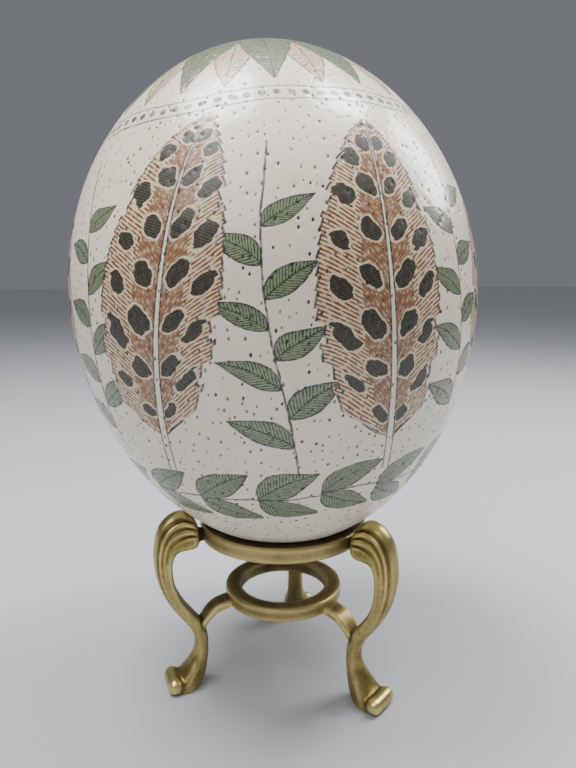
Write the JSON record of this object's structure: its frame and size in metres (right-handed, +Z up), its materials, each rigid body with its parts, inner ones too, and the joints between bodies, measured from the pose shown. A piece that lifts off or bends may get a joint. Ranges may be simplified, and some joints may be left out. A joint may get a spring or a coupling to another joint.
{
  "type": "ostrich egg",
  "caption": "Decorated ostrich egg resting upright on a cast brass tripod stand with cabriole legs, a seat ring and a smaller bracing ring.",
  "frame": {"origin": "on the ground under the middle of the egg, at the bottom centre of the whole object's box", "axes": "+Z up, -Y towards the viewer, +X to the viewer's right; one leg stands at the back, on +Y"},
  "size_m": [0.1251, 0.125, 0.2028],
  "materials": {
    "eggshell": "polished cream eggshell with fine pores and a drawn design in sienna, slate, olive and green",
    "aged_brass": "satin cast brass, brown in the hollows and bright on the worn crests"
  },
  "bodies": {
    "root": {"egg": "eggshell", "seat_ring": "aged_brass", "lower_ring": "aged_brass", "leg_back": "aged_brass", "leg_left": "aged_brass", "leg_right": "aged_brass"}
  },
  "joints": []
}
